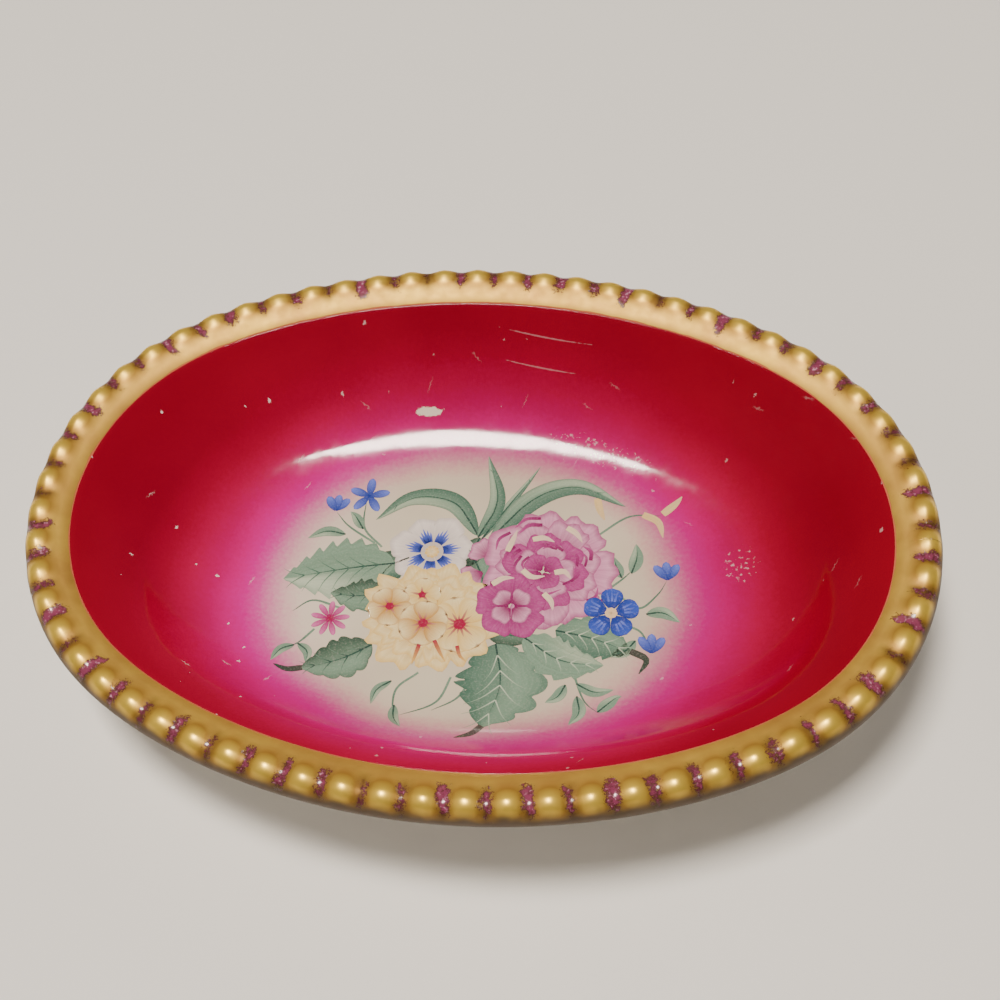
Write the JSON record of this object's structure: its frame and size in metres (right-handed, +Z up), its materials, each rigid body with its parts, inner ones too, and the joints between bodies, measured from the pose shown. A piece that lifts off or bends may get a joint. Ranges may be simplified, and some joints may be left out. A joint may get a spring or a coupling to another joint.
{
  "type": "ring dish",
  "caption": "Small oval porcelain dish for rings, with a gilded beaded rim, a ruby wall shading to a cream middle, a printed bouquet and a low oval foot.",
  "frame": {"origin": "bottom centre of the dish, on the plane that the foot stands on", "axes": "+X along the long axis of the oval, +Y across it, +Z up out of the bowl"},
  "size_m": [0.086, 0.0608, 0.0175],
  "materials": {
    "porcelain": "unglazed white biscuit",
    "gold": "fired bright gold, satin",
    "ruby_enamel": "glossy ruby, fading inwards through magenta",
    "cream_glaze": "glossy cream white",
    "white_glaze": "glossy white",
    "pink_enamel": "printed enamel",
    "yellow_enamel": "printed enamel",
    "white_enamel": "printed enamel",
    "blue_enamel": "printed enamel",
    "magenta_enamel": "printed enamel",
    "green_enamel": "printed enamel"
  },
  "bodies": {
    "root": {"dish_body": "porcelain", "foot_ring": "porcelain", "gilt_edge": "gold", "bead_border": "gold", "ruby_ground": "ruby_enamel", "centre_glaze": "cream_glaze", "outside_glaze": "white_glaze", "base_glaze": "white_glaze", "rose_print": "pink_enamel", "yellow_bloom_print": "yellow_enamel", "white_flower_print": "white_enamel", "blue_flower_print": "blue_enamel", "daisy_print": "magenta_enamel", "leaf_print": "green_enamel"}
  },
  "joints": []
}
